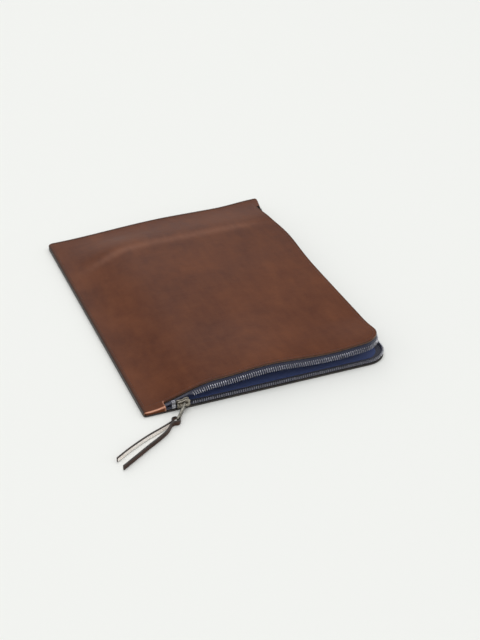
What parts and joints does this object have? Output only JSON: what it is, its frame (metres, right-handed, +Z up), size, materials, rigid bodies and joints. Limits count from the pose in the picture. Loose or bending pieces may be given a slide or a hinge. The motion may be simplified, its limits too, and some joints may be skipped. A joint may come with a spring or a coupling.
{
  "type": "laptop sleeve",
  "caption": "Slim brown leather laptop sleeve lying open, with a navy lining and an L-shaped metal zip whose slider carries a pull tab and a folded leather lace.",
  "frame": {"origin": "middle of the back panel's underside, on the table", "axes": "+X from the sewn left side to the zipped right side, +Y from the zipped near side to the sewn far side, +Z up out of the table"},
  "size_m": [0.3016, 0.4248, 0.022],
  "materials": {
    "leather": "waxed pull-up leather, fine grain, soft broad sheen",
    "lace": "brown grain side with a pale undyed flesh side",
    "lining": "matt plain-weave cotton",
    "zip_tape": "matt herringbone polyester tape",
    "teeth": "satin nickel",
    "hardware": "antique nickel over brass, slightly worn",
    "thread": "waxed thread"
  },
  "bodies": {
    "sleeve": {"back_panel": "leather", "front_panel": "leather", "edge_welt": "leather", "back_lining": "lining", "front_lining": "lining", "lower_tape": "zip_tape", "upper_tape_start": "zip_tape", "upper_tape_end": "zip_tape", "lower_teeth": "teeth", "upper_teeth_start": "teeth", "upper_teeth_end": "teeth", "bottom_stop": "hardware", "lower_top_stop": "teeth", "upper_top_stop": "teeth", "left_seam_thread": "thread", "far_seam_thread": "thread", "zip_seam_start": "thread", "zip_seam_end": "thread"},
    "flap": {"front_flap": "leather", "flap_lining": "lining", "upper_tape_flap": "zip_tape", "upper_teeth_flap": "teeth", "zip_seam_flap": "thread"},
    "slider": {"slider_body": "hardware", "slider_bridge": "hardware"},
    "puller": {"pull_tab": "hardware"},
    "lace": {"lace_loop": "lace", "lace_tail_upper": "lace", "lace_tail_lower": "lace"}
  },
  "joints": [
    {"name": "mouth_fold", "type": "hinge", "parent": "sleeve", "child": "flap", "pos_m": [0.037, -0.025, 0.0205], "axis": [-0.5041, -0.8637, 0], "range_deg": [0, 50]},
    {"name": "slider_travel", "type": "slide", "parent": "sleeve", "child": "slider", "axis": [1, 0, 0], "range_m": [0, 0.185]},
    {"name": "puller_swing", "type": "hinge", "parent": "slider", "child": "puller", "pos_m": [-0.0895, -0.18275, 0.00705], "axis": [-0.7547, 0.6561, 0], "range_deg": [0, 90]},
    {"name": "lace_swing", "type": "hinge", "parent": "puller", "child": "lace", "pos_m": [-0.10013, -0.19498, 0.00346], "axis": [-0.7547, 0.6561, 0], "range_deg": [-106, 0]}
  ],
  "couplings": [
    {"joint": "lace_swing", "follows": "puller_swing", "ratio": -1.17}
  ]
}
